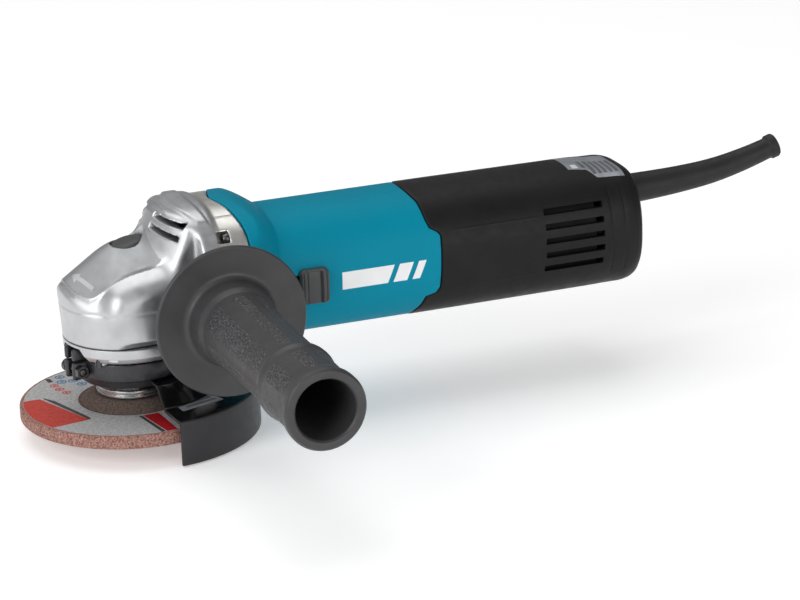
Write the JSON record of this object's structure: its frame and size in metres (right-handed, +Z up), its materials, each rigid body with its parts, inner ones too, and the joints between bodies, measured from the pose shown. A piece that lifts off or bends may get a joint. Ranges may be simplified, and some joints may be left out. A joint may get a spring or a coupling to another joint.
{
  "type": "angle grinder",
  "caption": "Corded angle grinder with cast head, plastic motor body, side handle, wheel guard, depressed-centre wheel, slide switch, shaft lock and a cord guard.",
  "frame": {"origin": "centre of the output spindle's free end face", "axes": "+X from the spindle towards the rear of the tool, +Z up the spindle away from the wheel, side handle towards -Y"},
  "size_m": [0.3666, 0.2261, 0.1047],
  "materials": {
    "cast_aluminium": "satin as-cast",
    "teal_plastic": "smooth satin gloss",
    "black_plastic": "fine matt texture",
    "grey_plastic": "matt with leather grain on the grip panels",
    "black_rubber": "matt",
    "steel": "machined",
    "dark_steel": "blackened",
    "guard_paint": "gloss black enamel on top, satin skirt",
    "abrasive": "resin bonded grain with a printed paper face",
    "copper": "enamelled",
    "carbon": "matt",
    "white_plastic": "moulded"
  },
  "bodies": {
    "tool_body": {"gear_housing": "cast_aluminium", "bearing_box": "cast_aluminium", "bearing_bracket": "cast_aluminium", "motor_housing": "teal_plastic", "rear_cover": "black_plastic", "switch_body": "black_plastic", "cord_clamp": "black_plastic", "side_handle": "grey_plastic", "cord_guard": "black_rubber", "spindle_bearing_upper": "steel", "spindle_bearing_lower": "steel", "shaft_lock_spring": "steel", "rotor_bearing_front": "steel", "rotor_bearing_rear": "steel", "brush_spring_upper": "steel", "brush_spring_lower": "steel", "handle_stud": "steel", "gear_housing_screw_1": "dark_steel", "gear_housing_screw_2": "dark_steel", "gear_housing_screw_3": "dark_steel", "gear_housing_screw_4": "dark_steel", "bearing_box_screw_1": "dark_steel", "bearing_box_screw_2": "dark_steel", "bearing_box_screw_3": "dark_steel", "bearing_box_screw_4": "dark_steel", "bearing_retainer": "dark_steel", "field_core": "dark_steel", "rear_cover_screw": "dark_steel", "cord_clamp_screw_1": "dark_steel", "cord_clamp_screw_2": "dark_steel", "field_coil_top": "copper", "field_coil_bottom": "copper", "brush_holder_upper": "copper", "brush_holder_lower": "copper", "carbon_brush_upper": "carbon", "carbon_brush_lower": "carbon", "fan_baffle": "white_plastic"},
    "spindle_group": {"spindle": "steel", "gear_spacer": "steel", "bevel_gear": "steel", "gear_ring": "dark_steel", "inner_flange": "steel", "grinding_wheel": "abrasive", "lock_nut": "dark_steel"},
    "rotor_group": {"armature_shaft": "steel", "pinion": "steel", "cooling_fan": "white_plastic", "armature_core": "steel", "armature_winding_front": "copper", "armature_winding_rear": "copper", "commutator": "copper"},
    "guard_group": {"wheel_guard": "guard_paint", "guard_clamp_band": "dark_steel", "guard_clamp_screw": "steel", "guard_clamp_nut": "steel"},
    "switch_slider": {"switch_knob": "grey_plastic", "switch_rod": "white_plastic", "switch_plunger": "white_plastic"},
    "lock_button_group": {"shaft_lock_button": "grey_plastic", "shaft_lock_pin": "steel"}
  },
  "joints": [
    {"name": "spindle_spin", "type": "hinge", "parent": "tool_body", "child": "spindle_group", "pos_m": [0, 0, 0.03], "axis": [0, 0, 1], "continuous": true},
    {"name": "rotor_spin", "type": "hinge", "parent": "tool_body", "child": "rotor_group", "pos_m": [0.09, 0, 0.06], "axis": [1, 0, 0], "continuous": true},
    {"name": "guard_turn", "type": "hinge", "parent": "tool_body", "child": "guard_group", "pos_m": [0, 0, 0.025], "axis": [0, 0, 1], "range_deg": [-90, 90]},
    {"name": "switch_slide", "type": "slide", "parent": "tool_body", "child": "switch_slider", "axis": [-1, 0, 0], "range_m": [0, 0.006], "stiffness_N_per_m": 250, "springref_m": -0.002},
    {"name": "shaft_lock_press", "type": "slide", "parent": "tool_body", "child": "lock_button_group", "axis": [0, 0, -1], "range_m": [0, 0.004], "stiffness_N_per_m": 500, "springref_m": -0.002, "deforming": ["shaft_lock_spring"]}
  ],
  "couplings": [
    {"joint": "rotor_spin", "follows": "spindle_spin", "ratio": 3}
  ]
}
